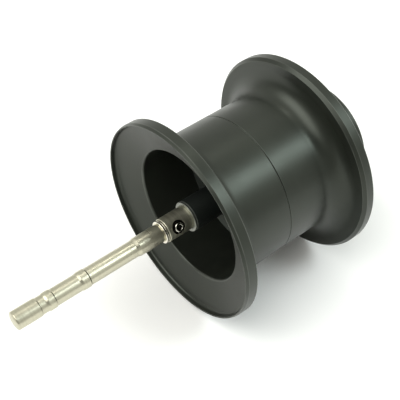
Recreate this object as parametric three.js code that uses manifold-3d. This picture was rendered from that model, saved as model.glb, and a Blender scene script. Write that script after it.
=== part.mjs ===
// A fishing reel's line spool on its spindle, in millimetres, with +Z up.
// The spindle lies along Y, its long end toward -Y, and the origin is on the
// axis at the seam between the two halves of the drum.
// The spool turns on two small ball bearings, one in the hub's web and one in
// the boss behind the rear flange.

import * as THREE from 'three';
import * as BufferGeometryUtils from 'three/addons/utils/BufferGeometryUtils.js';
import Module from 'manifold-3d';

const wasm = await Module();
wasm.setup();

// Driving dimensions

const DRUM_SIDES = 40; // facets round the large turned pieces
const SHAFT_SIDES = 20; // facets round the small turned pieces
const PRESS_GAP = 0.05; // between pieces that are pressed together
const RUN_GAP = 0.06; // between pieces that turn in one another

const DRUM_R = 16.45; // the surface that the line is wound on
const BORE_R = 15.45; // inside of the drum
const SEAM_BEVEL = 0.14; // fine groove where the two halves meet
const SEAM_GAP = 0.01;

const FRONT_FLANGE_R = 23.0;
const FRONT_CREST_Y = -18.1; // foremost edge of the front flange
const FRONT_BACK_Y = -15.15; // back of the front flange
const HOLLOW_EDGE_Y = -14.5; // where the dished front face meets the bore

const REAR_FLANGE_R = 23.5;
const REAR_FACE_Y = 14.3; // face that the line lies against
const REAR_BACK_Y = 17.05;
const RIM_EDGE = 0.2; // small bevel on the flanges' edges

const WINDING_FILLET_R = 4.5; // round hollow between drum and flange

const BOSS_R = 12.65;
const BOSS_END_Y = 26.35;
const BOSS_WALL = 1.3;

const HUB_R = 3.5; // tube down the middle of the front hollow
const HUB_MOUTH_Y = -14.33;
const WEB_FRONT_Y = 1.0;
const WEB_BACK_Y = 2.3;

const SLEEVE_R = 2.69;
const SLEEVE_FRONT_Y = -20.83;
const SLEEVE_REAR_Y = 0.6;

const PIN_R = 1.0;
const PIN_TOP = 3.1; // distance of the pin's end from the axis
const PIN_Y = -18.4;
const PIN_TURN = 33; // degrees from +X toward +Z
const RECESS_R = 1.5; // round recess that the pin stands in
const RECESS_FLOOR = 2.0; // distance of its floor from the axis

const JOURNAL_R = 2.0; // spindle's front end, and its two bands
const NECK_R = 1.85;
const LAND_R = 2.05;
const CORE_R = 1.5; // spindle inside the spool, a 3 mm bearing seat
const SPINDLE_FRONT_Y = -56.55;
const JOURNAL_END_Y = -51.15;
const BANDS = [[-49.1, -47.85], [-41.4, -39.95]]; // the two raised bands, from and to
const NECK_END_Y = -28.4;
const LAND_START_Y = -27.6;
const SPINDLE_REAR_Y = 30.6;
const CLIP_Y = -21.7; // groove for the front snap ring
const CLIP_WIDTH = 0.5;
const CLIP_OUTER_R = 2.55;
const TAIL_GROOVE_Y = 25.8; // groove for the rear snap ring
const TAIL_GROOVE_WIDTH = 0.45;

const BEARING_R = 5.0; // 3 x 10 x 4 mm ball bearing
const BEARING_WIDTH = 4.0;
const BALL_R = 0.79;
const BALL_COUNT = 7;
const PITCH_R = 3.2; // circle of the balls' centres
const SHIELD_THICKNESS = 0.2;
const FRONT_BEARING_Y = WEB_BACK_Y + BEARING_WIDTH / 2;
const REAR_BEARING_Y = 23.3;

const spool = new THREE.Group();

// Finishes

const finish = (color, roughness, metalness) =>
  new THREE.MeshStandardMaterial({ color, roughness, metalness });

const BLACK_ANODISED = finish(0x3a3c38, 0.38, 0.9);
const TURNED_STEEL = finish(0xc9c2a6, 0.3, 1.0);
const SPRING_STEEL = finish(0xd6d2c2, 0.25, 1.0);
const DARK_STEEL = finish(0x85826f, 0.35, 1.0);
const BARE_ALUMINIUM = finish(0x8f918a, 0.45, 0.9);
const BEARING_STEEL = finish(0xb9bcbd, 0.2, 1.0);
const BRASS = finish(0xb08d4a, 0.35, 1.0);

// Shape makers

// Points [radius, y] along an arc, angles in degrees from the outward
// direction toward +Y.
function arc(centreR, centreY, radius, from, to, steps) {
  const points = [];
  for (let i = 0; i <= steps; i += 1) {
    const a = THREE.MathUtils.degToRad(from + ((to - from) * i) / steps);
    points.push([centreR + radius * Math.cos(a), centreY + radius * Math.sin(a)]);
  }
  return points;
}

// A body turned about Y. The outline goes up on its outer side; one that
// doesn't touch the axis closes on itself.
function turnedGeometry(outline, sides) {
  const points = outline.map(([r, y]) => new THREE.Vector2(r, y));
  if (outline[0][0] > 0) points.push(points[0].clone());
  return new THREE.LatheGeometry(points, sides);
}

function add(name, geometry, material) {
  const mesh = new THREE.Mesh(geometry, material.clone());
  mesh.name = name;
  spool.add(mesh);
  return mesh;
}

function turned(name, outline, material, sides = SHAFT_SIDES) {
  return add(name, turnedGeometry(outline, sides), material);
}

// A plain ring or tube.
function ring(name, innerR, outerR, fromY, toY, material) {
  const outline = [[innerR, fromY], [outerR, fromY], [outerR, toY], [innerR, toY]];
  return turned(name, outline, material);
}

// A flat spring ring with a gap in it, lying square to Y. The gap faces the
// angle gapTurn, in degrees from +X toward +Z.
function snapRing(name, innerR, outerR, fromY, thickness, gap, gapTurn, material) {
  const half = THREE.MathUtils.degToRad(gap / 2);
  const turn = THREE.MathUtils.degToRad(-gapTurn);
  const shape = new THREE.Shape();
  shape.absarc(0, 0, outerR, turn + half, turn - half + 2 * Math.PI, false);
  shape.absarc(0, 0, innerR, turn - half + 2 * Math.PI, turn + half, true);
  const options = { depth: thickness, bevelEnabled: false, curveSegments: SHAFT_SIDES };
  const geometry = new THREE.ExtrudeGeometry(shape, options);
  geometry.rotateX(-Math.PI / 2);
  geometry.translate(0, fromY, 0);
  return add(name, geometry, material);
}

function toSolid(geometry) {
  const bare = geometry.index ? geometry.toNonIndexed() : geometry.clone();
  bare.deleteAttribute('normal');
  bare.deleteAttribute('uv');
  const merged = BufferGeometryUtils.mergeVertices(bare, 1e-5);
  const corners = merged.index.array;
  const kept = [];
  for (let i = 0; i < corners.length; i += 3) {
    const [a, b, c] = [corners[i], corners[i + 1], corners[i + 2]];
    if (a !== b && b !== c && c !== a) kept.push(a, b, c);
  }
  return new wasm.Manifold(new wasm.Mesh({
    numProp: 3,
    vertProperties: new Float32Array(merged.attributes.position.array),
    triVerts: new Uint32Array(kept),
  }));
}

function fromSolid(solid) {
  const mesh = solid.getMesh();
  const geometry = new THREE.BufferGeometry();
  geometry.setAttribute('position', new THREE.BufferAttribute(mesh.vertProperties, 3));
  geometry.setIndex(new THREE.BufferAttribute(mesh.triVerts, 1));
  return geometry;
}

// Direction square to the axis, from an angle in degrees from +X toward +Z.
function across(degrees) {
  const a = THREE.MathUtils.degToRad(degrees);
  return new THREE.Vector3(Math.cos(a), 0, Math.sin(a));
}

// A round cutter that points outward from the axis at height y.
function radialCutter(radius, from, to, y, degrees, sides) {
  const geometry = new THREE.CylinderGeometry(radius, radius, to - from, sides);
  const outward = across(degrees);
  const turn = new THREE.Quaternion().setFromUnitVectors(THREE.Object3D.DEFAULT_UP, outward);
  geometry.applyQuaternion(turn);
  const middle = outward.multiplyScalar((from + to) / 2);
  geometry.translate(middle.x, y, middle.z);
  return toSolid(geometry);
}

// Spool shells: the drum is two cups that meet at the seam.

// The quarter circle from a flange's face down to the winding surface. side
// is 1 at the rear flange and -1 at the front one.
function windingCurve(faceY, side) {
  const curve = [];
  const steps = 6;
  for (let i = 0; i <= steps; i += 1) {
    const a = ((Math.PI / 2) * i) / steps;
    const r = DRUM_R + WINDING_FILLET_R * (1 - Math.sin(a));
    curve.push([r, faceY - side * WINDING_FILLET_R * (1 - Math.cos(a))]);
  }
  return curve;
}

function frontShell() {
  const hollowEdge = 0.4; // bevel between the dished face and the bore
  const dishEnd = [21.8, -16.55];
  const lipFoot = [22.35, -16.9]; // inner foot of the raised lip
  const lipTop = [22.6, -17.95];
  const outline = [
    [BORE_R, HOLLOW_EDGE_Y + hollowEdge],
    [BORE_R + hollowEdge, HOLLOW_EDGE_Y - 0.1],
    dishEnd,
    lipFoot,
    lipTop,
    [FRONT_FLANGE_R - RIM_EDGE, FRONT_CREST_Y],
    [FRONT_FLANGE_R, FRONT_CREST_Y + 0.7],
    [FRONT_FLANGE_R, FRONT_BACK_Y - RIM_EDGE],
    [FRONT_FLANGE_R - RIM_EDGE, FRONT_BACK_Y],
    ...windingCurve(FRONT_BACK_Y, -1),
    [DRUM_R, -SEAM_BEVEL],
    [DRUM_R - SEAM_BEVEL, -SEAM_GAP],
    [BORE_R, -SEAM_GAP],
  ];
  turned('front_shell', outline, BLACK_ANODISED, DRUM_SIDES);
}

function rearShell() {
  const seatR = BEARING_R + PRESS_GAP;
  const seatY = REAR_BEARING_Y - BEARING_WIDTH / 2;
  const grooveY = REAR_BEARING_Y + BEARING_WIDTH / 2;
  const grooveWidth = 0.6;
  const grooveDepth = 0.4;
  const seatEdge = 0.25;
  const shoulderR = 4.3; // stops the bearing's outer ring
  const shoulderDepth = 0.8;
  const collarR = 6.6;
  const recessR = 21.6; // shallow recess in the back of the flange
  const recessY = 16.2;
  const fillet = 0.7;
  const bossEdge = 0.45;
  const wall = 1.2;
  const cavityR = BOSS_R - BOSS_WALL;
  const cavityY = BOSS_END_Y - BOSS_WALL;
  const outline = [
    [BORE_R, SEAM_GAP],
    [DRUM_R - SEAM_BEVEL, SEAM_GAP],
    [DRUM_R, SEAM_BEVEL],
    ...windingCurve(REAR_FACE_Y, 1).reverse(),
    [REAR_FLANGE_R - 0.65, REAR_FACE_Y],
    [REAR_FLANGE_R, REAR_FACE_Y + 0.7],
    [REAR_FLANGE_R, REAR_BACK_Y - RIM_EDGE],
    [REAR_FLANGE_R - RIM_EDGE, REAR_BACK_Y],
    [recessR + 0.5, REAR_BACK_Y],
    [recessR, recessY],
    [BOSS_R + fillet, recessY],
    [BOSS_R, recessY + fillet],
    [BOSS_R, BOSS_END_Y - bossEdge],
    [BOSS_R - bossEdge, BOSS_END_Y],
    [seatR + seatEdge, BOSS_END_Y],
    [seatR, BOSS_END_Y - seatEdge],
    [seatR, grooveY + grooveWidth],
    [seatR + grooveDepth, grooveY + grooveWidth],
    [seatR + grooveDepth, grooveY],
    [seatR, grooveY],
    [seatR, seatY],
    [shoulderR, seatY],
    [shoulderR, seatY - shoulderDepth],
    [collarR, seatY - shoulderDepth],
    [collarR, cavityY],
    [cavityR, cavityY],
    [cavityR, recessY - wall],
    [BORE_R - wall, recessY - wall],
    [BORE_R, recessY - 2.6],
  ];
  turned('rear_shell', outline, BLACK_ANODISED, DRUM_SIDES);
}

// The hub joins both shells: a rim pressed into the drum across the seam, a
// web, a pocket for the front bearing and the long tube down the hollow.
function hub() {
  const rimR = BORE_R - PRESS_GAP;
  const rimInner = 14.5;
  const rimFrontY = -1.5;
  const rimBackY = 4.0;
  const rimChamfer = 1.2;
  const flare = 1.0; // where the tube widens into the web
  const pocketWall = 1.1;
  const boreR = SLEEVE_R + PRESS_GAP;
  const pocketR = BEARING_R + PRESS_GAP;
  const pocketEnd = WEB_BACK_Y + BEARING_WIDTH + 0.3;
  const outline = [
    [boreR, HUB_MOUTH_Y],
    [HUB_R, HUB_MOUTH_Y],
    [HUB_R, WEB_FRONT_Y - flare],
    [HUB_R + flare, WEB_FRONT_Y],
    [rimInner, WEB_FRONT_Y],
    [rimInner, rimFrontY + rimChamfer],
    [rimR, rimFrontY],
    [rimR, rimBackY],
    [rimInner, rimBackY],
    [rimInner, WEB_BACK_Y],
    [pocketR + pocketWall, WEB_BACK_Y],
    [pocketR + pocketWall, pocketEnd],
    [pocketR, pocketEnd],
    [pocketR, WEB_BACK_Y - PRESS_GAP],
    [boreR, WEB_BACK_Y - PRESS_GAP],
  ];
  turned('hub', outline, BLACK_ANODISED, DRUM_SIDES);
}

// Steel sleeve in the hub's tube, with two recessed drive pins.

function driveSleeve() {
  const boreR = CORE_R + RUN_GAP;
  const edge = 0.12;
  const outline = [
    [boreR, SLEEVE_FRONT_Y],
    [SLEEVE_R - edge, SLEEVE_FRONT_Y],
    [SLEEVE_R, SLEEVE_FRONT_Y + edge],
    [SLEEVE_R, SLEEVE_REAR_Y],
    [boreR, SLEEVE_REAR_Y],
  ];
  let body = toSolid(turnedGeometry(outline, SHAFT_SIDES));
  for (const degrees of [PIN_TURN, PIN_TURN + 180]) {
    body = body.subtract(radialCutter(RECESS_R, RECESS_FLOOR, PIN_TOP, PIN_Y, degrees, 20));
    body = body.subtract(radialCutter(PIN_R + PRESS_GAP, 0.5, SLEEVE_R, PIN_Y, degrees, 16));
  }
  add('drive_sleeve', fromSolid(body), DARK_STEEL);
}

function drivePins() {
  const foot = CORE_R + 0.25;
  const edge = 0.15;
  const dimpleR = 0.6;
  const dimpleDepth = 0.8;
  const dimpleCone = 0.2;
  const outline = [
    [0, foot],
    [PIN_R, foot],
    [PIN_R, PIN_TOP - edge],
    [PIN_R - edge, PIN_TOP],
    [dimpleR, PIN_TOP],
    [dimpleR, PIN_TOP - dimpleDepth + dimpleCone],
    [0, PIN_TOP - dimpleDepth],
  ];
  for (let i = 0; i < 2; i += 1) {
    const pin = turned(`drive_pin_${i + 1}`, outline, SPRING_STEEL, 16);
    const outward = across(PIN_TURN + 180 * i);
    pin.quaternion.setFromUnitVectors(THREE.Object3D.DEFAULT_UP, outward);
    pin.position.set(0, PIN_Y, 0);
  }
}

// Ball bearings

function bearing(place, centreY) {
  const half = BEARING_WIDTH / 2 - 0.02;
  const raceR = BALL_R + 0.07;
  const outerInside = 3.85;
  const innerOutside = 2.6;
  const boreR = CORE_R + 0.03;

  const outerRace = [
    [outerInside, centreY - half],
    [BEARING_R, centreY - half],
    [BEARING_R, centreY + half],
    [outerInside, centreY + half],
    ...arc(PITCH_R, centreY, raceR, 40, -40, 4),
  ];
  turned(`${place}_outer_ring`, outerRace, BEARING_STEEL);

  const innerRace = [
    [boreR, centreY - half],
    [innerOutside, centreY - half],
    ...arc(PITCH_R, centreY, raceR, 225, 135, 4),
    [innerOutside, centreY + half],
    [boreR, centreY + half],
  ];
  turned(`${place}_inner_ring`, innerRace, BEARING_STEEL);

  const shieldInner = innerOutside + 0.15;
  const shieldOuter = outerInside - 0.1;
  for (const [end, side] of [['front', -1], ['rear', 1]]) {
    const y = centreY + side * (half - 0.18);
    const plate = [y - SHIELD_THICKNESS / 2, y + SHIELD_THICKNESS / 2];
    ring(`${place}_shield_${end}`, shieldInner, shieldOuter, ...plate, BEARING_STEEL);
  }

  cage(place, centreY);

  for (let i = 0; i < BALL_COUNT; i += 1) {
    const ball = add(`${place}_ball_${i + 1}`, new THREE.SphereGeometry(BALL_R, 10, 6), SPRING_STEEL);
    const outward = across(PIN_TURN + (360 * i) / BALL_COUNT);
    ball.position.copy(outward.multiplyScalar(PITCH_R));
    ball.position.y = centreY;
  }
}

// A band between the rings with a round window for each ball.
function cage(place, centreY) {
  const innerR = 2.92;
  const outerR = 3.5;
  const half = 1.25;
  const outline = [
    [innerR, centreY - half],
    [outerR, centreY - half],
    [outerR, centreY + half],
    [innerR, centreY + half],
  ];
  let band = toSolid(turnedGeometry(outline, 28));
  for (let i = 0; i < BALL_COUNT; i += 1) {
    const degrees = PIN_TURN + (360 * i) / BALL_COUNT;
    const window = radialCutter(BALL_R + RUN_GAP, innerR - 1, outerR + 1, centreY, degrees, 12);
    band = band.subtract(window);
  }
  add(`${place}_cage`, fromSolid(band), BRASS);
}

// Spindle and what is fastened to it

// A raised band: a short slope up, the band, and a steeper step down.
const BAND_SLOPE = 0.55;
const BAND_STEP = 0.25;

function band(fromY, toY) {
  return [
    [NECK_R, fromY - BAND_SLOPE],
    [JOURNAL_R, fromY],
    [JOURNAL_R, toY],
    [NECK_R, toY + BAND_STEP],
  ];
}

// The front end: a flat middle with a quarter-ellipse round its edge.
function domedEnd() {
  const flatR = 0.8;
  const depth = 0.45;
  const steps = 3;
  const points = [[0, SPINDLE_FRONT_Y]];
  for (let i = 0; i <= steps; i += 1) {
    const a = ((Math.PI / 2) * i) / steps;
    const r = flatR + (JOURNAL_R - flatR) * Math.sin(a);
    points.push([r, SPINDLE_FRONT_Y + depth * (1 - Math.cos(a))]);
  }
  return points;
}

function spindle() {
  const grooveR = 1.7;
  const tailGrooveR = 1.2;
  const chamfer = 0.35;
  const landEndY = SLEEVE_FRONT_Y - 0.07;
  const outline = [
    ...domedEnd(),
    [JOURNAL_R, JOURNAL_END_Y],
    [NECK_R, JOURNAL_END_Y + BAND_SLOPE],
    ...BANDS.flatMap(([fromY, toY]) => band(fromY, toY)),
    [NECK_R, NECK_END_Y],
    [LAND_R, LAND_START_Y],
    [LAND_R, CLIP_Y],
    [grooveR, CLIP_Y],
    [grooveR, CLIP_Y + CLIP_WIDTH],
    [LAND_R, CLIP_Y + CLIP_WIDTH],
    [LAND_R, landEndY],
    [CORE_R, landEndY],
    [CORE_R, TAIL_GROOVE_Y],
    [tailGrooveR, TAIL_GROOVE_Y],
    [tailGrooveR, TAIL_GROOVE_Y + TAIL_GROOVE_WIDTH],
    [CORE_R, TAIL_GROOVE_Y + TAIL_GROOVE_WIDTH],
    [CORE_R, SPINDLE_REAR_Y - chamfer],
    [CORE_R - chamfer, SPINDLE_REAR_Y],
    [0, SPINDLE_REAR_Y],
  ];
  turned('spindle', outline, TURNED_STEEL);
}

function fastenings() {
  const gap = 40;
  const away = PIN_TURN + 180;
  const side = 0.02; // play on each side of a ring in its groove
  const washerFrom = CLIP_Y + CLIP_WIDTH + side;
  const washerTo = SLEEVE_FRONT_Y - 0.05;
  const clip = [1.74, CLIP_OUTER_R, CLIP_Y + side, CLIP_WIDTH - 2 * side];
  snapRing('front_snap_ring', ...clip, gap, away, SPRING_STEEL);
  ring('front_washer', LAND_R + 0.04, CLIP_OUTER_R, washerFrom, washerTo, SPRING_STEEL);

  const endRing = [SLEEVE_R + PRESS_GAP, HUB_R - 0.05, HUB_MOUTH_Y - 0.47, HUB_MOUTH_Y - side];
  ring('hub_end_ring', ...endRing, BARE_ALUMINIUM);

  const spacerFrom = FRONT_BEARING_Y + BEARING_WIDTH / 2 + side;
  const spacerTo = REAR_BEARING_Y - BEARING_WIDTH / 2 - side;
  ring('bearing_spacer', CORE_R + PRESS_GAP, 2.3, spacerFrom, spacerTo, BARE_ALUMINIUM);

  const seatEnd = REAR_BEARING_Y + BEARING_WIDTH / 2;
  const circlip = [4.25, BEARING_R + 0.38, seatEnd + 0.03, 0.52];
  const tailClip = [1.24, 2.7, TAIL_GROOVE_Y + side, TAIL_GROOVE_WIDTH - 2 * side];
  snapRing('rear_circlip', ...circlip, gap, away, DARK_STEEL);
  ring('rear_washer', CORE_R + PRESS_GAP, 2.9, seatEnd + side, TAIL_GROOVE_Y - 0.03, BRASS);
  snapRing('rear_snap_ring', ...tailClip, gap, away, SPRING_STEEL);
}

frontShell();
rearShell();
hub();
driveSleeve();
drivePins();
bearing('front', FRONT_BEARING_Y);
bearing('rear', REAR_BEARING_Y);
spindle();
fastenings();

export default spool;
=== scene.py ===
"""A fishing reel's line spool on its spindle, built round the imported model.

Sizes are in millimetres until a mesh is made, and Blender's objects are in metres. The spindle lies
along Y, its long end toward -Y. Angles round it run from +X toward +Z.
"""

import bpy
import numpy as np
from mathutils import Matrix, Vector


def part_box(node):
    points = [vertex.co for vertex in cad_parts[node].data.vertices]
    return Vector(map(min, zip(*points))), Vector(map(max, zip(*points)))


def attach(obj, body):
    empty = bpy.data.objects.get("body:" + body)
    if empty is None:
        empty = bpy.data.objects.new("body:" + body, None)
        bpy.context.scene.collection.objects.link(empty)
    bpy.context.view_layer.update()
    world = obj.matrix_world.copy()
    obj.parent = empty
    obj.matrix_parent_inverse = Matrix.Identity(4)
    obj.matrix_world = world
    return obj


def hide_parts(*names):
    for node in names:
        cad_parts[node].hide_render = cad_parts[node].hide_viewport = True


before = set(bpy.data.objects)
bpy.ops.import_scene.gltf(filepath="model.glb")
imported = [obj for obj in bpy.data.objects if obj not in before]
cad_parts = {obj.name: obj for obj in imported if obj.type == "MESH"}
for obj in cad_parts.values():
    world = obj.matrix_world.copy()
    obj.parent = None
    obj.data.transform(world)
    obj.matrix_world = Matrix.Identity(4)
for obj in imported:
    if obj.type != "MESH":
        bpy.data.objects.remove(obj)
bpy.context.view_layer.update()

# Spindle: one bar of stainless steel, turned on a lathe, with a journal and two raised bands on
# its long end and a 3 mm bearing seat inside the spool. The turning leaves fine rings round it.

MM = 0.001

JOURNAL_R = 2.0
NECK_R = 1.85
LAND_R = 2.05
CORE_R = 1.5
JOURNAL_END_Y = -51.15
BANDS = [(-49.1, -47.85), (-41.4, -39.95)]
NECK_END_Y = -28.4
LAND_START_Y = -27.6
STEP_LENGTH = 0.25


def rounded(corners, steps=6):
    """An outline whose corners (radius, y, rounding) are rounded off, as points and an edge weight.

    Each corner gives way to an arc that touches both sides at rounding / tan(half the angle) from it.
    One more point just beyond each end of the arc, or beside a corner on a long side, keeps the flats
    flat. The weight is 1 on an arc that stands out of the solid and 0 elsewhere. A rounding of 0
    keeps the corner as it is.
    """
    corners = np.array(corners, float)
    point, rounding = corners[:, :2], corners[:, 2:]
    back = np.roll(point, 1, axis=0) - point
    ahead = np.roll(point, -1, axis=0) - point
    back_length = np.linalg.norm(back, axis=1, keepdims=True)
    ahead_length = np.linalg.norm(ahead, axis=1, keepdims=True)
    back, ahead = back / back_length, ahead / ahead_length
    half = np.arccos(np.clip((back * ahead).sum(1, keepdims=True), -1, 1)) / 2
    reach = np.minimum(rounding / np.tan(half), 0.4 * np.minimum(back_length, ahead_length))
    middle = back + ahead
    middle /= np.maximum(np.linalg.norm(middle, axis=1, keepdims=True), 1e-9)
    centre = point + middle * reach / np.cos(half)
    first = point + back * reach - centre
    last = point + ahead * reach - centre
    turn = (np.pi - 2 * half)[:, None]
    share = np.linspace(0, 1, steps + 1)[None, :, None]
    arc = np.sin((1 - share) * turn) * first[:, None] + np.sin(share * turn) * last[:, None]
    arc = centre[:, None] + arc / np.maximum(np.sin(turn), 1e-9)
    long_side, least_margin = 0.8, 0.03
    off_axis = point[:, :1] > 0
    close = 0.2 * reach
    clear = np.maximum(close, least_margin)
    back_margin = np.where((back_length > long_side) & off_axis, clear, close)
    ahead_margin = np.where((ahead_length > long_side) & off_axis, clear, close)
    before = (point + back * (reach + back_margin))[:, None]
    after = (point + ahead * (reach + ahead_margin))[:, None]
    outline = np.concatenate([before, arc, after], axis=1)
    outward = back[:, 1] * ahead[:, 0] - back[:, 0] * ahead[:, 1] > 0
    weight = np.zeros(outline.shape[:2])
    weight[:, 1:-1] = (outward & (rounding[:, 0] > 0))[:, None]
    outline, weight = outline.reshape(-1, 2), weight.ravel()
    kept = np.linalg.norm(outline - np.roll(outline, 1, axis=0), axis=1) > 1e-5
    return outline[kept], weight[kept]


def make_piece(name, points, faces, material, edge=None):
    """A smooth-shaded object at the origin, from points in millimetres."""
    mesh = bpy.data.meshes.new(name)
    mesh.from_pydata((points * MM).tolist(), [], faces)
    mesh.polygons.foreach_set("use_smooth", np.ones(len(mesh.polygons), bool))
    weight = mesh.attributes.new("edge", "FLOAT", "POINT")
    if edge is not None:
        weight.data.foreach_set("value", edge.astype(np.float32))
    mesh.materials.append(material)
    mesh.update()
    piece = bpy.data.objects.new(name, mesh)
    bpy.context.scene.collection.objects.link(piece)
    piece.modifiers.new("flats_stay_flat", "WEIGHTED_NORMAL").keep_sharp = True
    return piece


def swept(section, angle):
    """Each (radius, y) of a section at each angle a: the points (radius cos a, y, radius sin a)."""
    radius, y = section[:, :1], section[:, 1:]
    grid = [radius * np.cos(angle), y + 0 * angle, radius * np.sin(angle)]
    return np.stack(grid, axis=-1).reshape(-1, 3)


def quads(i, i_next, j, j_next, around):
    """A face for each row i and column j of swept points, around points to a row, pointing outward."""
    corners = [i * around + j, i_next * around + j, i_next * around + j_next, i * around + j_next]
    return np.stack(corners, axis=-1).reshape(-1, 4).tolist()


def turned(name, corners, material, around=192):
    """A body turned about Y: its rounded outline swept in even steps round the full circle.

    An outline that starts and ends on the axis closes there in a point, and any other closes on
    itself.
    """
    outline, edge = rounded(corners)
    solid = outline[0, 0] < 1e-6
    ring = outline[1:-1] if solid else outline
    rows = len(ring)
    points = swept(ring, 2 * np.pi * np.arange(around) / around)
    i = np.arange(rows - 1 if solid else rows)[:, None]
    j = np.arange(around)
    j_next = (j + 1) % around
    faces = quads(i, (i + 1) % rows, j, j_next, around)
    weights = np.repeat(edge[1:-1] if solid else edge, around)
    if solid:
        front_pole, rear_pole = len(points), len(points) + 1
        last_row = (rows - 1) * around
        points = np.concatenate([points, [[0, outline[0, 1], 0], [0, outline[-1, 1], 0]]])
        weights = np.append(weights, [0, 0])
        faces += np.stack([0 * j + front_pole, j, j_next], axis=-1).tolist()
        faces += np.stack([last_row + j, 0 * j + rear_pole, last_row + j_next], axis=-1).tolist()
    return make_piece(name, points, faces, material, weights)


def linear(code):
    """An sRGB hex colour as linear red, green, blue and a full alpha."""
    value = np.array([int(code[i : i + 2], 16) for i in (0, 2, 4)]) / 255
    value = np.where(value <= 0.04045, value / 12.92, ((value + 0.055) / 1.055) ** 2.4)
    return (*value, 1.0)


def add_node(tree, kind, values=None, links=None, **settings):
    """Adds a node. Settings are its properties, values its inputs' numbers, links their sources."""
    made = tree.nodes.new(kind)
    for key, value in settings.items():
        setattr(made, key, value)
    for key, value in (values or {}).items():
        made.inputs[key].default_value = value
    for key, source in (links or {}).items():
        tree.links.new(source, made.inputs[key])
    return made


def start_material(name):
    """A new material's node tree, its shader, and its surface point in metres."""
    material = bpy.data.materials.new(name)
    material.use_nodes = True
    tree = material.node_tree
    shader = tree.nodes["Principled BSDF"]
    place = add_node(tree, "ShaderNodeTexCoord").outputs["Object"]
    return material, tree, shader, place


def lathe_rings(tree, place, spacing):
    """Fine rings round Y, as the lathe leaves them: noise over (radius, y), the same all round.

    A finishing cut leaves its marks about 0.05 mm apart, too fine to show at this size, so the
    spacing that is asked for is three to six times as coarse.
    """
    across = add_node(tree, "ShaderNodeVectorMath", {1: (1, 0, 1)}, {0: place}, operation="MULTIPLY")
    radius = add_node(
        tree, "ShaderNodeVectorMath", links={0: across.outputs[0]}, operation="LENGTH"
    ).outputs["Value"]
    y = add_node(tree, "ShaderNodeSeparateXYZ", links={0: place}).outputs["Y"]
    flat = add_node(tree, "ShaderNodeCombineXYZ", links={"X": radius, "Y": y}).outputs[0]
    scale = {"Scale": 1 / (spacing * MM), "Detail": 2.0, "Roughness": 0.6}
    return add_node(tree, "ShaderNodeTexNoise", scale, {"Vector": flat}).outputs["Fac"]


def from_noise(low, high):
    """Map Range values that spread a noise, which keeps between about 0.3 and 0.7, over low to high."""
    return {"From Min": 0.3, "From Max": 0.7, "To Min": low, "To Max": high}


def turned_metal(name, light, dark, roughness, spacing, depth):
    """Bare turned metal: rings of two close tones and two roughnesses, cut depth deep.

    Smears of handling, about 2.5 mm wide, keep the rings from being perfectly even.
    """
    material, tree, shader, place = start_material(name)
    rings = lathe_rings(tree, place, spacing)
    smear_width = 2.5
    smears = add_node(
        tree, "ShaderNodeTexNoise", {"Scale": 1 / (smear_width * MM), "Detail": 3.0}, {"Vector": place}
    ).outputs["Fac"]
    ring_tone = add_node(tree, "ShaderNodeMapRange", from_noise(0.0, 1.0), {"Value": rings}).outputs["Result"]
    tone = add_node(
        tree,
        "ShaderNodeMix",
        {"A": linear(dark), "B": linear(light)},
        {"Factor": ring_tone},
        data_type="RGBA",
    )
    tree.links.new(tone.outputs["Result"], shader.inputs["Base Color"])
    ring_gloss = add_node(
        tree, "ShaderNodeMapRange", from_noise(0.85 * roughness, 1.15 * roughness), {"Value": rings}
    ).outputs["Result"]
    smear_gloss = add_node(
        tree, "ShaderNodeMapRange", from_noise(0.9, 1.15), {"Value": smears}
    ).outputs["Result"]
    gloss = add_node(
        tree, "ShaderNodeMath", links={0: ring_gloss, 1: smear_gloss}, operation="MULTIPLY"
    ).outputs[0]
    tree.links.new(gloss, shader.inputs["Roughness"])
    bump = add_node(
        tree, "ShaderNodeBump", {"Strength": 1.0, "Distance": depth * MM}, {"Height": rings}
    ).outputs["Normal"]
    tree.links.new(bump, shader.inputs["Normal"])
    shader.inputs["Metallic"].default_value = 1.0
    return material


def fit(piece, body, slot, *nodes):
    """The piece rides on a body and stands for these CAD nodes, which are hidden. The slot is not used."""
    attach(piece, body)
    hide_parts(*nodes)


def band(from_y, to_y):
    """A raised band: a slope up, the band, and a steeper step down."""
    slope_length = 0.55
    return [
        (NECK_R, from_y - slope_length, 0.6),
        (JOURNAL_R, from_y, 0.5),
        (JOURNAL_R, to_y, 0.05),
        (NECK_R, to_y + STEP_LENGTH, 0.1),
    ]


def spindle_corners():
    """The spindle's outline from its domed front end to its chamfered rear end."""
    low, high = (corner.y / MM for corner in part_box("spindle"))
    dome_r, dome_depth = 0.8, 0.45
    swing = np.linspace(0, np.pi / 2, 9)
    dome = np.stack(
        [dome_r + (JOURNAL_R - dome_r) * np.sin(swing), low + dome_depth * (1 - np.cos(swing)), 0 * swing],
        axis=1,
    )
    clip_groove, tail_groove = (-21.7, -21.2), (25.8, 26.25)
    groove_r, tail_groove_r, chamfer = 1.7, 1.2, 0.35
    land_end = -20.9
    return [
        (0, low, 0),
        *dome,
        (JOURNAL_R, JOURNAL_END_Y, 0.05),
        (NECK_R, JOURNAL_END_Y + STEP_LENGTH, 0.1),
        *band(*BANDS[0]),
        *band(*BANDS[1]),
        (NECK_R, NECK_END_Y, 0.5),
        (LAND_R, LAND_START_Y, 0.3),
        (LAND_R, clip_groove[0], 0.04),
        (groove_r, clip_groove[0], 0.03),
        (groove_r, clip_groove[1], 0.03),
        (LAND_R, clip_groove[1], 0.04),
        (LAND_R, land_end, 0.05),
        (CORE_R, land_end, 0.05),
        (CORE_R, tail_groove[0], 0.03),
        (tail_groove_r, tail_groove[0], 0.03),
        (tail_groove_r, tail_groove[1], 0.03),
        (CORE_R, tail_groove[1], 0.03),
        (CORE_R, high - chamfer, 0.08),
        (CORE_R - chamfer, high, 0.08),
        (0, high, 0),
    ]


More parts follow.
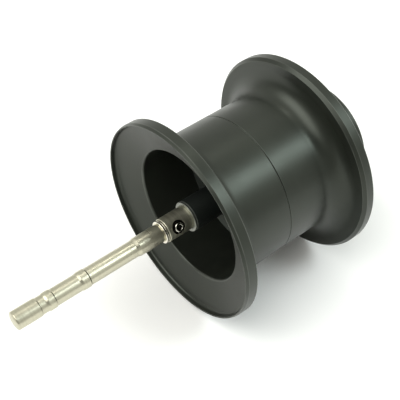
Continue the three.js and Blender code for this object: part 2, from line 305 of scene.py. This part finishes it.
# Stainless steel fresh from the lathe: warm, bright, and a little streaked round the bar.
spindle_steel = turned_metal("turned_stainless_steel", "c2beaa", "b8b4a0", 0.32, 0.3, 0.0003)
spindle = turned("turned_spindle", spindle_corners(), spindle_steel, around=128)
fit(spindle, "spindle_assembly", "turned_spindle_steel", "spindle")

# Snap ring and washer: a C of hardened spring steel sprung into the spindle's groove, with a ground
# washer behind it. Together they keep the sleeve, and so the whole spool, on the spindle.


def c_ring(name, inner, outer, from_y, to_y, rounding, gap, gap_faces, material, around=96):
    """A C-shaped flat ring: a rounded oblong section swept round Y, leaving out the gap.

    The gap is gap degrees wide and faces the angle gap_faces. Both cut ends are closed flat.
    """
    corners = [(inner, from_y), (outer, from_y), (outer, to_y), (inner, to_y)]
    section, edge = rounded([(*corner, rounding) for corner in corners], steps=4)
    size = len(section)
    angle = np.radians(np.linspace(gap_faces + gap / 2, gap_faces + 360 - gap / 2, around))
    points = swept(section, angle)
    i = np.arange(size)[:, None]
    j = np.arange(around - 1)
    faces = quads(i, (i + 1) % size, j, j + 1, around)
    loop = np.arange(size) * around
    faces += [loop[::-1].tolist(), (loop + around - 1).tolist()]
    piece = make_piece(name, points, faces, material, np.repeat(edge, around))
    piece.data.set_sharp_from_angle(angle=np.radians(50))
    return piece


def y_span(node):
    """A node's lowest and highest y in millimetres."""
    return [corner.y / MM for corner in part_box(node)]


def outer_radius(node):
    """The radius of a node turned about Y, in millimetres."""
    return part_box(node)[1].z / MM


PIN_TURN = 33  # degrees from +X toward +Z to the first drive pin, which the rings' gaps face away from
RING_GAP = 40  # degrees

# Spring steel tumbled bright after hardening: the palest metal here, with soft, wide glints.
spring_steel = turned_metal("tumbled_spring_steel", "eeeadd", "dcd7c6", 0.2, 0.15, 0.0004)
clip_bore_r, clip_outer_r = 1.74, outer_radius("front_snap_ring")
clip_span = y_span("front_snap_ring")
front_clip = c_ring(
    "front_clip", clip_bore_r, clip_outer_r, *clip_span, 0.12, RING_GAP, PIN_TURN + 180, spring_steel
)
fit(front_clip, "spindle_assembly", "spring_steel", "front_snap_ring")


def plain_ring(name, node, inner, rounding, material, around=96):
    """A turned ring with rounded edges that fills a CAD ring's place."""
    from_y, to_y = y_span(node)
    outer = outer_radius(node)
    corners = [(inner, from_y), (outer, from_y), (outer, to_y), (inner, to_y)]
    return turned(name, [(*corner, rounding) for corner in corners], material, around)


washer = plain_ring("thrust_washer", "front_washer", LAND_R + 0.04, 0.06, spring_steel)
fit(washer, "spindle_assembly", "spring_steel", "front_washer")

# Front half of the spool: a thin flange with a dished face and a raised rim, and the front cup of
# the drum, turned from one piece of aluminium. It is blasted matt, then anodised and dyed black.

BORE_R = 15.45
DRUM_R = 16.45
SEAM_BEVEL = 0.14
SEAM_GAP = 0.01
WINDING_FILLET_R = 4.5
WORN_EDGE = "5a5c57"


def anodised_black(name, dye, dye_drift, roughness):
    """Dyed anodising over a matt, turned ground.

    The dye is nearly black and drifts a little across the piece, and so does the film's gloss with
    handling. The film is thinner and paler on the edges. Blasting leaves a grain of about 0.05 mm,
    too fine to show, so it is drawn at 0.18 mm.
    """
    material, tree, shader, place = start_material(name)
    cloud_width, grain_width, ring_spacing = 6, 0.18, 0.3
    cloud = add_node(
        tree, "ShaderNodeTexNoise", {"Scale": 1 / (cloud_width * MM), "Detail": 4.0}, {"Vector": place}
    ).outputs["Fac"]
    grain = add_node(
        tree, "ShaderNodeTexNoise", {"Scale": 1 / (grain_width * MM), "Detail": 2.0}, {"Vector": place}
    ).outputs["Fac"]
    rings = lathe_rings(tree, place, ring_spacing)
    edge = add_node(tree, "ShaderNodeAttribute", attribute_name="edge").outputs["Fac"]
    wear = add_node(tree, "ShaderNodeMapRange", from_noise(0.1, 0.6), {"Value": cloud}).outputs["Result"]
    worn = add_node(tree, "ShaderNodeMath", links={0: edge, 1: wear}, operation="MULTIPLY").outputs[0]
    drift = add_node(tree, "ShaderNodeMapRange", from_noise(0.0, 1.0), {"Value": cloud}).outputs["Result"]
    dyed = add_node(
        tree,
        "ShaderNodeMix",
        {"A": linear(dye), "B": linear(dye_drift)},
        {"Factor": drift},
        data_type="RGBA",
    ).outputs["Result"]
    paled = add_node(
        tree,
        "ShaderNodeMix",
        {"B": linear(WORN_EDGE)},
        {"Factor": worn, "A": dyed},
        data_type="RGBA",
    ).outputs["Result"]
    tree.links.new(paled, shader.inputs["Base Color"])
    cloud_gloss = add_node(
        tree, "ShaderNodeMapRange", from_noise(0.93 * roughness, 1.07 * roughness), {"Value": cloud}
    ).outputs["Result"]
    grain_gloss = add_node(
        tree, "ShaderNodeMapRange", from_noise(0.92, 1.08), {"Value": grain}
    ).outputs["Result"]
    gloss = add_node(
        tree, "ShaderNodeMath", links={0: cloud_gloss, 1: grain_gloss}, operation="MULTIPLY"
    ).outputs[0]
    tree.links.new(gloss, shader.inputs["Roughness"])
    height = add_node(
        tree, "ShaderNodeMath", {1: 0.6}, {0: grain, 2: rings}, operation="MULTIPLY_ADD"
    ).outputs[0]
    bump_depth = 0.002
    bump = add_node(
        tree, "ShaderNodeBump", {"Strength": 0.5, "Distance": bump_depth * MM}, {"Height": height}
    ).outputs["Normal"]
    tree.links.new(bump, shader.inputs["Normal"])
    shader.inputs["IOR"].default_value = 1.46
    shader.inputs["Specular Tint"].default_value = linear("f6fff0")
    return material


def winding_curve(face_y, side):
    """The quarter circle from a flange's face down to the winding surface, as unrounded corners.

    It starts on the face, WINDING_FILLET_R above the winding surface, and ends on the surface the
    same way along the axis. Side is 1 at the rear flange and -1 at the front one.
    """
    swing = np.linspace(0, np.pi / 2, 17)
    radius = DRUM_R + WINDING_FILLET_R * (1 - np.sin(swing))
    y = face_y - side * WINDING_FILLET_R * (1 - np.cos(swing))
    return list(np.stack([radius, y, 0 * swing], axis=1))


def front_shell_corners():
    """Round the section from the hollow's rounded edge, over the raised lip and down to the seam."""
    rim_r = outer_radius("front_shell")
    crest_y = y_span("front_shell")[0]
    back_y = crest_y + 2.95
    dish_depth, lip_height = 3.6, 1.25
    lip_foot_r, lip_top_r = 22.35, 22.5
    return [
        (BORE_R, crest_y + dish_depth, 0.5),
        (lip_foot_r, crest_y + lip_height, 0.7),
        (lip_top_r, crest_y + 0.1, 0.08),
        (rim_r - 0.25, crest_y, 0.08),
        (rim_r, crest_y + 0.7, 0.5),
        (rim_r, back_y, 0.22),
        *winding_curve(back_y, -1),
        (DRUM_R, -SEAM_BEVEL, 0.04),
        (DRUM_R - SEAM_BEVEL, -SEAM_GAP, 0.02),
        (BORE_R, -SEAM_GAP, 0.05),
    ]


# Black dye over a fine blast: a deep grey-black with a broad, silky highlight and pale worn edges.
black = anodised_black("black_anodised_aluminium", "191b17", "1f211c", 0.355)
front_shell = turned("front_flange_and_drum", front_shell_corners(), black, around=256)
fit(front_shell, "spool", "black_anodised", "front_shell")

# Rear half of the spool: the larger flange with a shallow recess in its back, the rear cup of the
# drum, and the round boss that holds the rear bearing. Turned and anodised as the front half is.


def rear_shell_corners():
    """Round the section from the seam, over the flange and the boss, and back through the inside."""
    rim_r = outer_radius("rear_shell")
    face_y, back_y, boss_end = 14.3, 17.05, y_span("rear_shell")[1]
    boss_r, cavity_r, collar_r = 12.65, 11.35, 6.6
    seat_r, seat_y, groove_y = 5.05, 21.3, 25.3
    groove_width, groove_depth = 0.6, 0.4
    recess_y, recess_r = 16.2, 21.6
    stop_r, stop_thickness, wall = 4.3, 0.8, 1.3
    return [
        (BORE_R, SEAM_GAP, 0.05),
        (DRUM_R - SEAM_BEVEL, SEAM_GAP, 0.02),
        (DRUM_R, SEAM_BEVEL, 0.04),
        *winding_curve(face_y, 1)[::-1],
        (rim_r - 0.65, face_y, 0.12),
        (rim_r, face_y + 0.7, 0.12),
        (rim_r, back_y - 0.2, 0.08),
        (rim_r - 0.2, back_y, 0.08),
        (recess_r + 0.5, back_y, 0.15),
        (recess_r, recess_y, 0.2),
        (boss_r, recess_y, 0.7),
        (boss_r, boss_end, 0.45),
        (seat_r, boss_end, 0.2),
        (seat_r, groove_y + groove_width, 0.03),
        (seat_r + groove_depth, groove_y + groove_width, 0.03),
        (seat_r + groove_depth, groove_y, 0.03),
        (seat_r, groove_y, 0.03),
        (seat_r, seat_y, 0.04),
        (stop_r, seat_y, 0.1),
        (stop_r, seat_y - stop_thickness, 0.1),
        (collar_r, seat_y - stop_thickness, 0.2),
        (collar_r, boss_end - wall, 0.4),
        (cavity_r, boss_end - wall, 0.4),
        (cavity_r, recess_y - 1.2, 0.3),
        (BORE_R - 1.2, recess_y - 1.2, 0.3),
        (BORE_R, recess_y - 2.6, 0.3),
    ]


rear_shell = turned("rear_flange_drum_and_boss", rear_shell_corners(), black, around=256)
fit(rear_shell, "spool", "black_anodised", "rear_shell")

# Hub: a black anodised aluminium turning inside the drum. Its rim is pressed in across the seam and
# joins the halves, its web holds the front bearing, and its tube runs forward down the hollow.

HUB_R = 3.5
SLEEVE_R = 2.69


def hub_corners():
    """Round the section from the tube's mouth, along the tube, the web and the rim, and back."""
    rim_r, rim_inner, rim_front, rim_back = 15.4, 14.5, -1.5, 4.0
    web_front, web_back = 1.0, 2.3
    bore_r, pocket_r, pocket_wall = SLEEVE_R + 0.05, 5.05, 1.1
    pocket_end = 6.6
    mouth = y_span("hub")[0]
    return [
        (bore_r, mouth, 0.08),
        (HUB_R, mouth, 0.12),
        (HUB_R, web_front, 1.0),
        (rim_inner, web_front, 0.4),
        (rim_inner, rim_front + 1.2, 0.1),
        (rim_r, rim_front, 0.04),
        (rim_r, rim_back, 0.1),
        (rim_inner, rim_back, 0.1),
        (rim_inner, web_back, 0.3),
        (pocket_r + pocket_wall, web_back, 0.3),
        (pocket_r + pocket_wall, pocket_end, 0.2),
        (pocket_r, pocket_end, 0.1),
        (pocket_r, web_back - 0.05, 0.05),
        (bore_r, web_back - 0.05, 0.05),
    ]


# Blasted coarser than the shells, so it shows no clear highlight, and dyed darker than them as painted shade
# for its place deep in the hollow.
hub_black_painted_shade = anodised_black("matt_black_anodised_painted_shade", "0c0f0e", "101312", 0.5)
hub = turned("hub_tube_and_web", hub_corners(), hub_black_painted_shade, around=192)
fit(hub, "spool", "black_anodised", "hub")

# End ring: a bare aluminium ring pressed over the sleeve against the mouth of the hub's tube. It
# keeps dirt out of the joint, and its turned face is left uncoated.

# Aluminium as turned, dulled by its own thin oxide: a plain mid-grey that takes no sharp glint.
bare_aluminium = turned_metal("turned_bare_aluminium", "8f918a", "787a74", 0.4, 0.15, 0.0006)
end_ring = plain_ring("hub_mouth_ring", "hub_end_ring", SLEEVE_R + 0.05, 0.06, bare_aluminium)
fit(end_ring, "spool", "bare_aluminium", "hub_end_ring")

# Drive sleeve: a ground steel tube pressed into the hub. Two round recesses are milled across its
# front end, opposite one another, and each holds a drive pin that the reel's pinion engages.

PIN_Y = -18.4
RECESS_R = 1.5
RECESS_FLOOR = 2.0
PIN_HOLE_R = 1.05
PIN_HOLE_FLOOR = 0.5
CUTTER_TOP = 4.5


def toward(piece_points, degrees, y):
    """Points turned about Y by degrees, so that what lay along X points that way, and moved to y."""
    a = np.radians(degrees)
    along, up, side = piece_points.T
    x = along * np.cos(a) - side * np.sin(a)
    z = along * np.sin(a) + side * np.cos(a)
    return np.stack([x, up + y, z], axis=1)


def lying_along_x(piece):
    """The mesh's points in millimetres, after a body turned about Y is laid along X instead."""
    points = np.empty(len(piece.data.vertices) * 3)
    piece.data.vertices.foreach_get("co", points)
    x, y, z = points.reshape(-1, 3).T / MM
    return np.stack([y, -x, z], axis=1)


def point_outward(piece, degrees, y):
    """Lays a body turned about Y along the direction degrees from +X toward +Z, at height y."""
    points = toward(lying_along_x(piece), degrees, y) * MM
    piece.data.vertices.foreach_set("co", points.ravel())
    piece.data.update()


def sleeve_corners():
    """A plain tube with a broken front edge."""
    front, back = y_span("drive_sleeve")
    bore_r = 1.56
    return [
        (bore_r, front, 0.08),
        (SLEEVE_R, front, 0.15),
        (SLEEVE_R, back, 0.1),
        (bore_r, back, 0.05),
    ]


def milled_recesses(sleeve, material):
    """Cuts the two recesses, and the pin holes in their floors, out of the sleeve; the cut faces take the
    given near-black material as painted shade.
    """
    for degrees in (PIN_TURN, PIN_TURN + 180):
        for radius, floor in ((RECESS_R, RECESS_FLOOR), (PIN_HOLE_R, PIN_HOLE_FLOOR)):
            corners = [(0, floor, 0), (radius, floor, 0.05), (radius, CUTTER_TOP, 0), (0, CUTTER_TOP, 0)]
            cutter = turned("cutter", corners, material, around=64)
            point_outward(cutter, degrees, PIN_Y)
            cut = sleeve.modifiers.new("recess", "BOOLEAN")
            cut.operation = "DIFFERENCE"
            cut.solver = "EXACT"
            cut.material_mode = "TRANSFER"
            cut.object = cutter
            with bpy.context.temp_override(object=sleeve, active_object=sleeve):
                bpy.ops.object.modifier_apply(modifier=cut.name)
            bpy.data.objects.remove(cutter)
    sleeve.data.set_sharp_from_angle(angle=np.radians(35))


# Hardened steel, centreless ground, with a thin film from tempering: greyer and softer than the bar.
sleeve_steel = turned_metal("ground_tempered_steel", "c8c5b2", "b3b09d", 0.38, 0.2, 0.0004)
sleeve = turned("recessed_drive_sleeve", sleeve_corners(), sleeve_steel, around=128)
# Painted shade: a dull, nearly black steel on the walls and floors of the sleeve's recesses and inside the
# pins' dimples, where shade falls.
recess_shade_steel = turned_metal("dark_steel_painted_shade", "2c2a26", "22211e", 0.5, 0.15, 0.0006)
milled_recesses(sleeve, recess_shade_steel)
fit(sleeve, "spool", "turned_sleeve_steel", "drive_sleeve")

# Drive pins: short hardened steel pins pressed into the sleeve, standing proud of it. Each has a
# rounded rim and a drilled dimple in its end.

PIN_R = 1.0
PIN_FOOT = 1.75
PIN_TOP = 3.1
DIMPLE_R = 0.6


def pin_corners():
    """A pin's outline from its foot to the bottom of the dimple in its end."""
    dimple_depth = 1.05
    return [
        (0, PIN_FOOT, 0),
        (PIN_R, PIN_FOOT, 0.1),
        (PIN_R, PIN_TOP, 0.14),
        (DIMPLE_R, PIN_TOP, 0.1),
        (DIMPLE_R, PIN_TOP - dimple_depth + 0.25, 0.05),
        (0, PIN_TOP - dimple_depth, 0),
    ]


def paint_shade_in_dimple(pin):
    """Gives the faces inside the dimple the pin's second material, a near-black painted shade."""
    centres = np.empty(len(pin.data.polygons) * 3)
    pin.data.polygons.foreach_get("center", centres)
    x, y, z = centres.reshape(-1, 3).T / MM
    inside = (np.hypot(x, z) < DIMPLE_R + 0.01) & (y > PIN_FOOT + 0.1)
    pin.data.materials.append(recess_shade_steel)
    pin.data.polygons.foreach_set("material_index", inside.astype(np.int32))


# Hard chrome steel, polished by tumbling: small sharp glints on the rounded rim.
pin_steel = turned_metal("polished_chrome_steel", "efece2", "e2decf", 0.16, 0.2, 0.0003)
for number, degrees in enumerate((PIN_TURN, PIN_TURN + 180), start=1):
    pin = turned(f"dimpled_pin_{number}", pin_corners(), pin_steel, around=64)
    paint_shade_in_dimple(pin)
    point_outward(pin, degrees, PIN_Y)
    fit(pin, "spool", "bright_pin_steel", f"drive_pin_{number}")

# Ball bearings: two 3 x 10 x 4 mm deep-groove bearings, one in the hub's web and one in the boss.
# Each has ground chrome-steel rings and balls, a pressed brass cage and two thin steel shields.

BEARING_R = 5.0
PITCH_R = 3.2
BALL_R = 0.79
RACE_R = 0.86
BALL_COUNT = 7
OUTER_RING_LAND_R = 3.85
INNER_RING_LAND_R = 2.6
INNER_RING_BORE_R = 1.53
SHIELD_BORE_R = 2.75

# Chrome steel, ground and lapped: nearly neutral and almost a mirror.
bearing_steel = turned_metal("lapped_bearing_steel", "d8dadb", "c9cbcc", 0.14, 0.15, 0.0003)
# Brass strip as pressed: a warm yellow, a little dull.
brass = turned_metal("pressed_brass", "c9a55c", "b08d4a", 0.3, 0.2, 0.0005)


def race(centre_y, from_degrees, to_degrees):
    """The round groove that the balls run in, as an arc of corners with no rounding."""
    swing = np.radians(np.linspace(from_degrees, to_degrees, 13))
    arc = [PITCH_R + RACE_R * np.cos(swing), centre_y + RACE_R * np.sin(swing), 0 * swing]
    return list(np.stack(arc, axis=1))


for end, turning_set in (("front", "front_cage_set"), ("rear", "rear_cage_set")):
    low, high = y_span(f"{end}_outer_ring")
    middle = (low + high) / 2
    outer_corners = [
        (OUTER_RING_LAND_R, low, 0.08),
        (BEARING_R, low, 0.2),
        (BEARING_R, high, 0.2),
        (OUTER_RING_LAND_R, high, 0.08),
        *race(middle, 40, -40),
    ]
    outer_ring = turned(f"{end}_bearing_outer_ring", outer_corners, bearing_steel, around=128)
    fit(outer_ring, "spool", "bearing_steel", f"{end}_outer_ring")

    inner_corners = [
        (INNER_RING_BORE_R, low, 0.1),
        (INNER_RING_LAND_R, low, 0.06),
        *race(middle, 225, 135),
        (INNER_RING_LAND_R, high, 0.06),
        (INNER_RING_BORE_R, high, 0.1),
    ]
    inner_ring = turned(f"{end}_bearing_inner_ring", inner_corners, bearing_steel, around=128)
    fit(inner_ring, "spindle_assembly", "bearing_steel", f"{end}_inner_ring")

    for side in ("front", "rear"):
        node = f"{end}_shield_{side}"
        shield = plain_ring(f"{end}_bearing_shield_{side}", node, SHIELD_BORE_R, 0.05, bearing_steel, 128)
        fit(shield, "spool", "bearing_steel", node)

    # One ball lies along each of seven even directions, the first in line with a drive pin.
    swing = np.linspace(-np.pi / 2, np.pi / 2, 17)
    ball_corners = np.stack([BALL_R * np.cos(swing), PITCH_R + BALL_R * np.sin(swing), 0 * swing], axis=1)
    ball_corners[[0, -1], 0] = 0
    for number in range(BALL_COUNT):
        ball = turned(f"{end}_bearing_ball_{number + 1}", ball_corners, bearing_steel, around=32)
        point_outward(ball, PIN_TURN + 360 * number / BALL_COUNT, middle)
        fit(ball, turning_set, "bearing_steel", f"{end}_ball_{number + 1}")

    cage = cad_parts[f"{end}_cage"]
    cage.data.materials.clear()
    cage.data.materials.append(brass)

# Bearing spacer: a thin aluminium tube, turned and parted off, that slides onto the spindle. It
# fills the space between the two inner rings and keeps them apart.

SLIDING_BORE_R = 1.55
spacer = plain_ring("spacer_tube", "bearing_spacer", SLIDING_BORE_R, 0.1, bare_aluminium)
fit(spacer, "spindle_assembly", "bare_aluminium", "bearing_spacer")

# Rear fastenings: a blackened circlip sprung into the boss keeps the rear bearing in, and a brass
# washer and a small snap ring on the spindle's tail stop the spindle from sliding out forward.

# Spring steel with a dark phosphate coat: charcoal, with hardly any glint.
dark_spring_steel = turned_metal("phosphated_spring_steel", "4c4a44", "3c3b37", 0.45, 0.15, 0.0006)
circlip_bore_r, circlip_outer_r = 4.25, outer_radius("rear_circlip")
circlip_span = y_span("rear_circlip")
rear_circlip = c_ring(
    "boss_circlip", circlip_bore_r, circlip_outer_r, *circlip_span, 0.08, RING_GAP, PIN_TURN + 180,
    dark_spring_steel,
)
fit(rear_circlip, "spool", "dark_spring_steel", "rear_circlip")

tail_washer = plain_ring("tail_washer", "rear_washer", SLIDING_BORE_R, 0.08, brass)
fit(tail_washer, "spindle_assembly", "brass", "rear_washer")

tail_clip_bore_r, tail_clip_outer_r = 1.24, outer_radius("rear_snap_ring")
tail_clip_span = y_span("rear_snap_ring")
tail_clip = c_ring(
    "tail_clip", tail_clip_bore_r, tail_clip_outer_r, *tail_clip_span, 0.08, RING_GAP, PIN_TURN + 180,
    spring_steel,
)
fit(tail_clip, "spindle_assembly", "spring_steel", "rear_snap_ring")

# Setting: a matt white sheet with three soft lights, one beyond the spool, a small one above it and a
# wide one over the sheet in front. The room is bright overhead and beyond, and dark low in front.

# White card with a matt face: even, with no glint.
white, _, shader, _ = start_material("matt_white_sheet")
shader.inputs["Base Color"].default_value = (0.94, 0.935, 0.925, 1)
shader.inputs["Roughness"].default_value = 0.9
shader.inputs["Specular IOR Level"].default_value = 0.2
SHEET_HALF = 4000.0
sheet_z = -outer_radius("rear_shell")
corners = SHEET_HALF * np.array([(-1, -1), (1, -1), (1, 1), (-1, 1)])
sheet_points = np.column_stack([corners, np.full(4, sheet_z)])
sheet = make_piece("white_sheet", sheet_points, [[0, 1, 2, 3]], white)


def matrix_of(right, up, back, place):
    """A placing matrix from three square directions and a point."""
    rows = np.eye(4)
    rows[:3] = np.column_stack([right, up, back, place])
    return Matrix(rows.tolist())


def soft_light(name, direction, distance, width, height, power, colour):
    """A rectangle of light that faces the origin from a direction, its height as near Y as it can be.

    The distance and the two sides are in metres and the power is in watts.
    """
    light = bpy.data.lights.new(name, "AREA")
    light.shape = "RECTANGLE"
    light.size, light.size_y = width, height
    light.energy = power
    light.color = colour
    lamp = bpy.data.objects.new(name, light)
    back = np.array(direction) / np.linalg.norm(direction)
    across = np.cross((0, 1, 0), back)
    across /= np.linalg.norm(across)
    up = np.cross(back, across)
    lamp.matrix_world = matrix_of(across, up, back, back * distance)
    bpy.context.scene.collection.objects.link(lamp)


soft_light("tall_light", (0.49, 0.44, 0.752), 0.6, 0.2, 0.24, 1.35, (0.88, 0.98, 1.0))
soft_light("upper_light", (-0.31, 0.29, 0.90), 0.6, 0.14, 0.12, 0.24, (1.0, 1.0, 0.94))
soft_light("sheet_light", (-0.12, -0.55, 0.83), 0.8, 1.0, 0.5, 6.2, (1.0, 1.0, 0.98))

world = bpy.data.worlds.new("soft_room")
bpy.context.scene.world = world
world.use_nodes = True
tree = world.node_tree
background = tree.nodes["Background"]
direction = add_node(tree, "ShaderNodeTexCoord").outputs["Generated"]
# Brightness rises from the dark low part of the room in front, past the horizon, to the ceiling.
ceiling = add_node(
    tree, "ShaderNodeVectorMath", {1: (-0.15, 0.6, 0.8)}, {0: direction}, operation="DOT_PRODUCT"
).outputs["Value"]
room = add_node(
    tree,
    "ShaderNodeMapRange",
    {"From Min": -0.7, "From Max": 0.5, "To Min": 0.03, "To Max": 0.85},
    {"Value": ceiling},
    interpolation_type="SMOOTHSTEP",
).outputs["Result"]
# Someone leaning over the front of the object takes away the light from a patch above it.
patch = add_node(
    tree, "ShaderNodeVectorMath", {1: (0.56, -0.22, 0.8)}, {0: direction}, operation="DOT_PRODUCT"
).outputs["Value"]
shaded = add_node(
    tree,
    "ShaderNodeMapRange",
    {"From Min": 0.86, "From Max": 0.97, "To Min": 1.0, "To Max": 0.12},
    {"Value": patch},
    interpolation_type="SMOOTHSTEP",
).outputs["Result"]
lit = add_node(tree, "ShaderNodeMath", links={0: room, 1: shaded}, operation="MULTIPLY").outputs[0]
seen = add_node(tree, "ShaderNodeLightPath").outputs["Is Camera Ray"]
strength = add_node(
    tree, "ShaderNodeMix", {"B": 1.1}, {"Factor": seen, "A": lit}, data_type="FLOAT"
).outputs["Result"]
tree.links.new(strength, background.inputs["Strength"])
background.inputs["Color"].default_value = (0.99, 1.0, 0.94, 1)

# A long lens looks down on the front end of the spindle from its right.
camera = bpy.data.cameras.new("camera")
camera.lens = 74.07
camera.sensor_width = 36.0
camera.clip_start, camera.clip_end = 0.01, 20.0
eye = bpy.data.objects.new("camera", camera)
eye.matrix_world = matrix_of(
    (0.6338, 0.7735, 0.0), (-0.5684, 0.4657, 0.6783), (0.5247, -0.4299, 0.7348), (0.09066, -0.08522, 0.12963)
)
bpy.context.scene.collection.objects.link(eye)
bpy.context.scene.camera = eye
bpy.context.scene.view_settings.view_transform = "Standard"
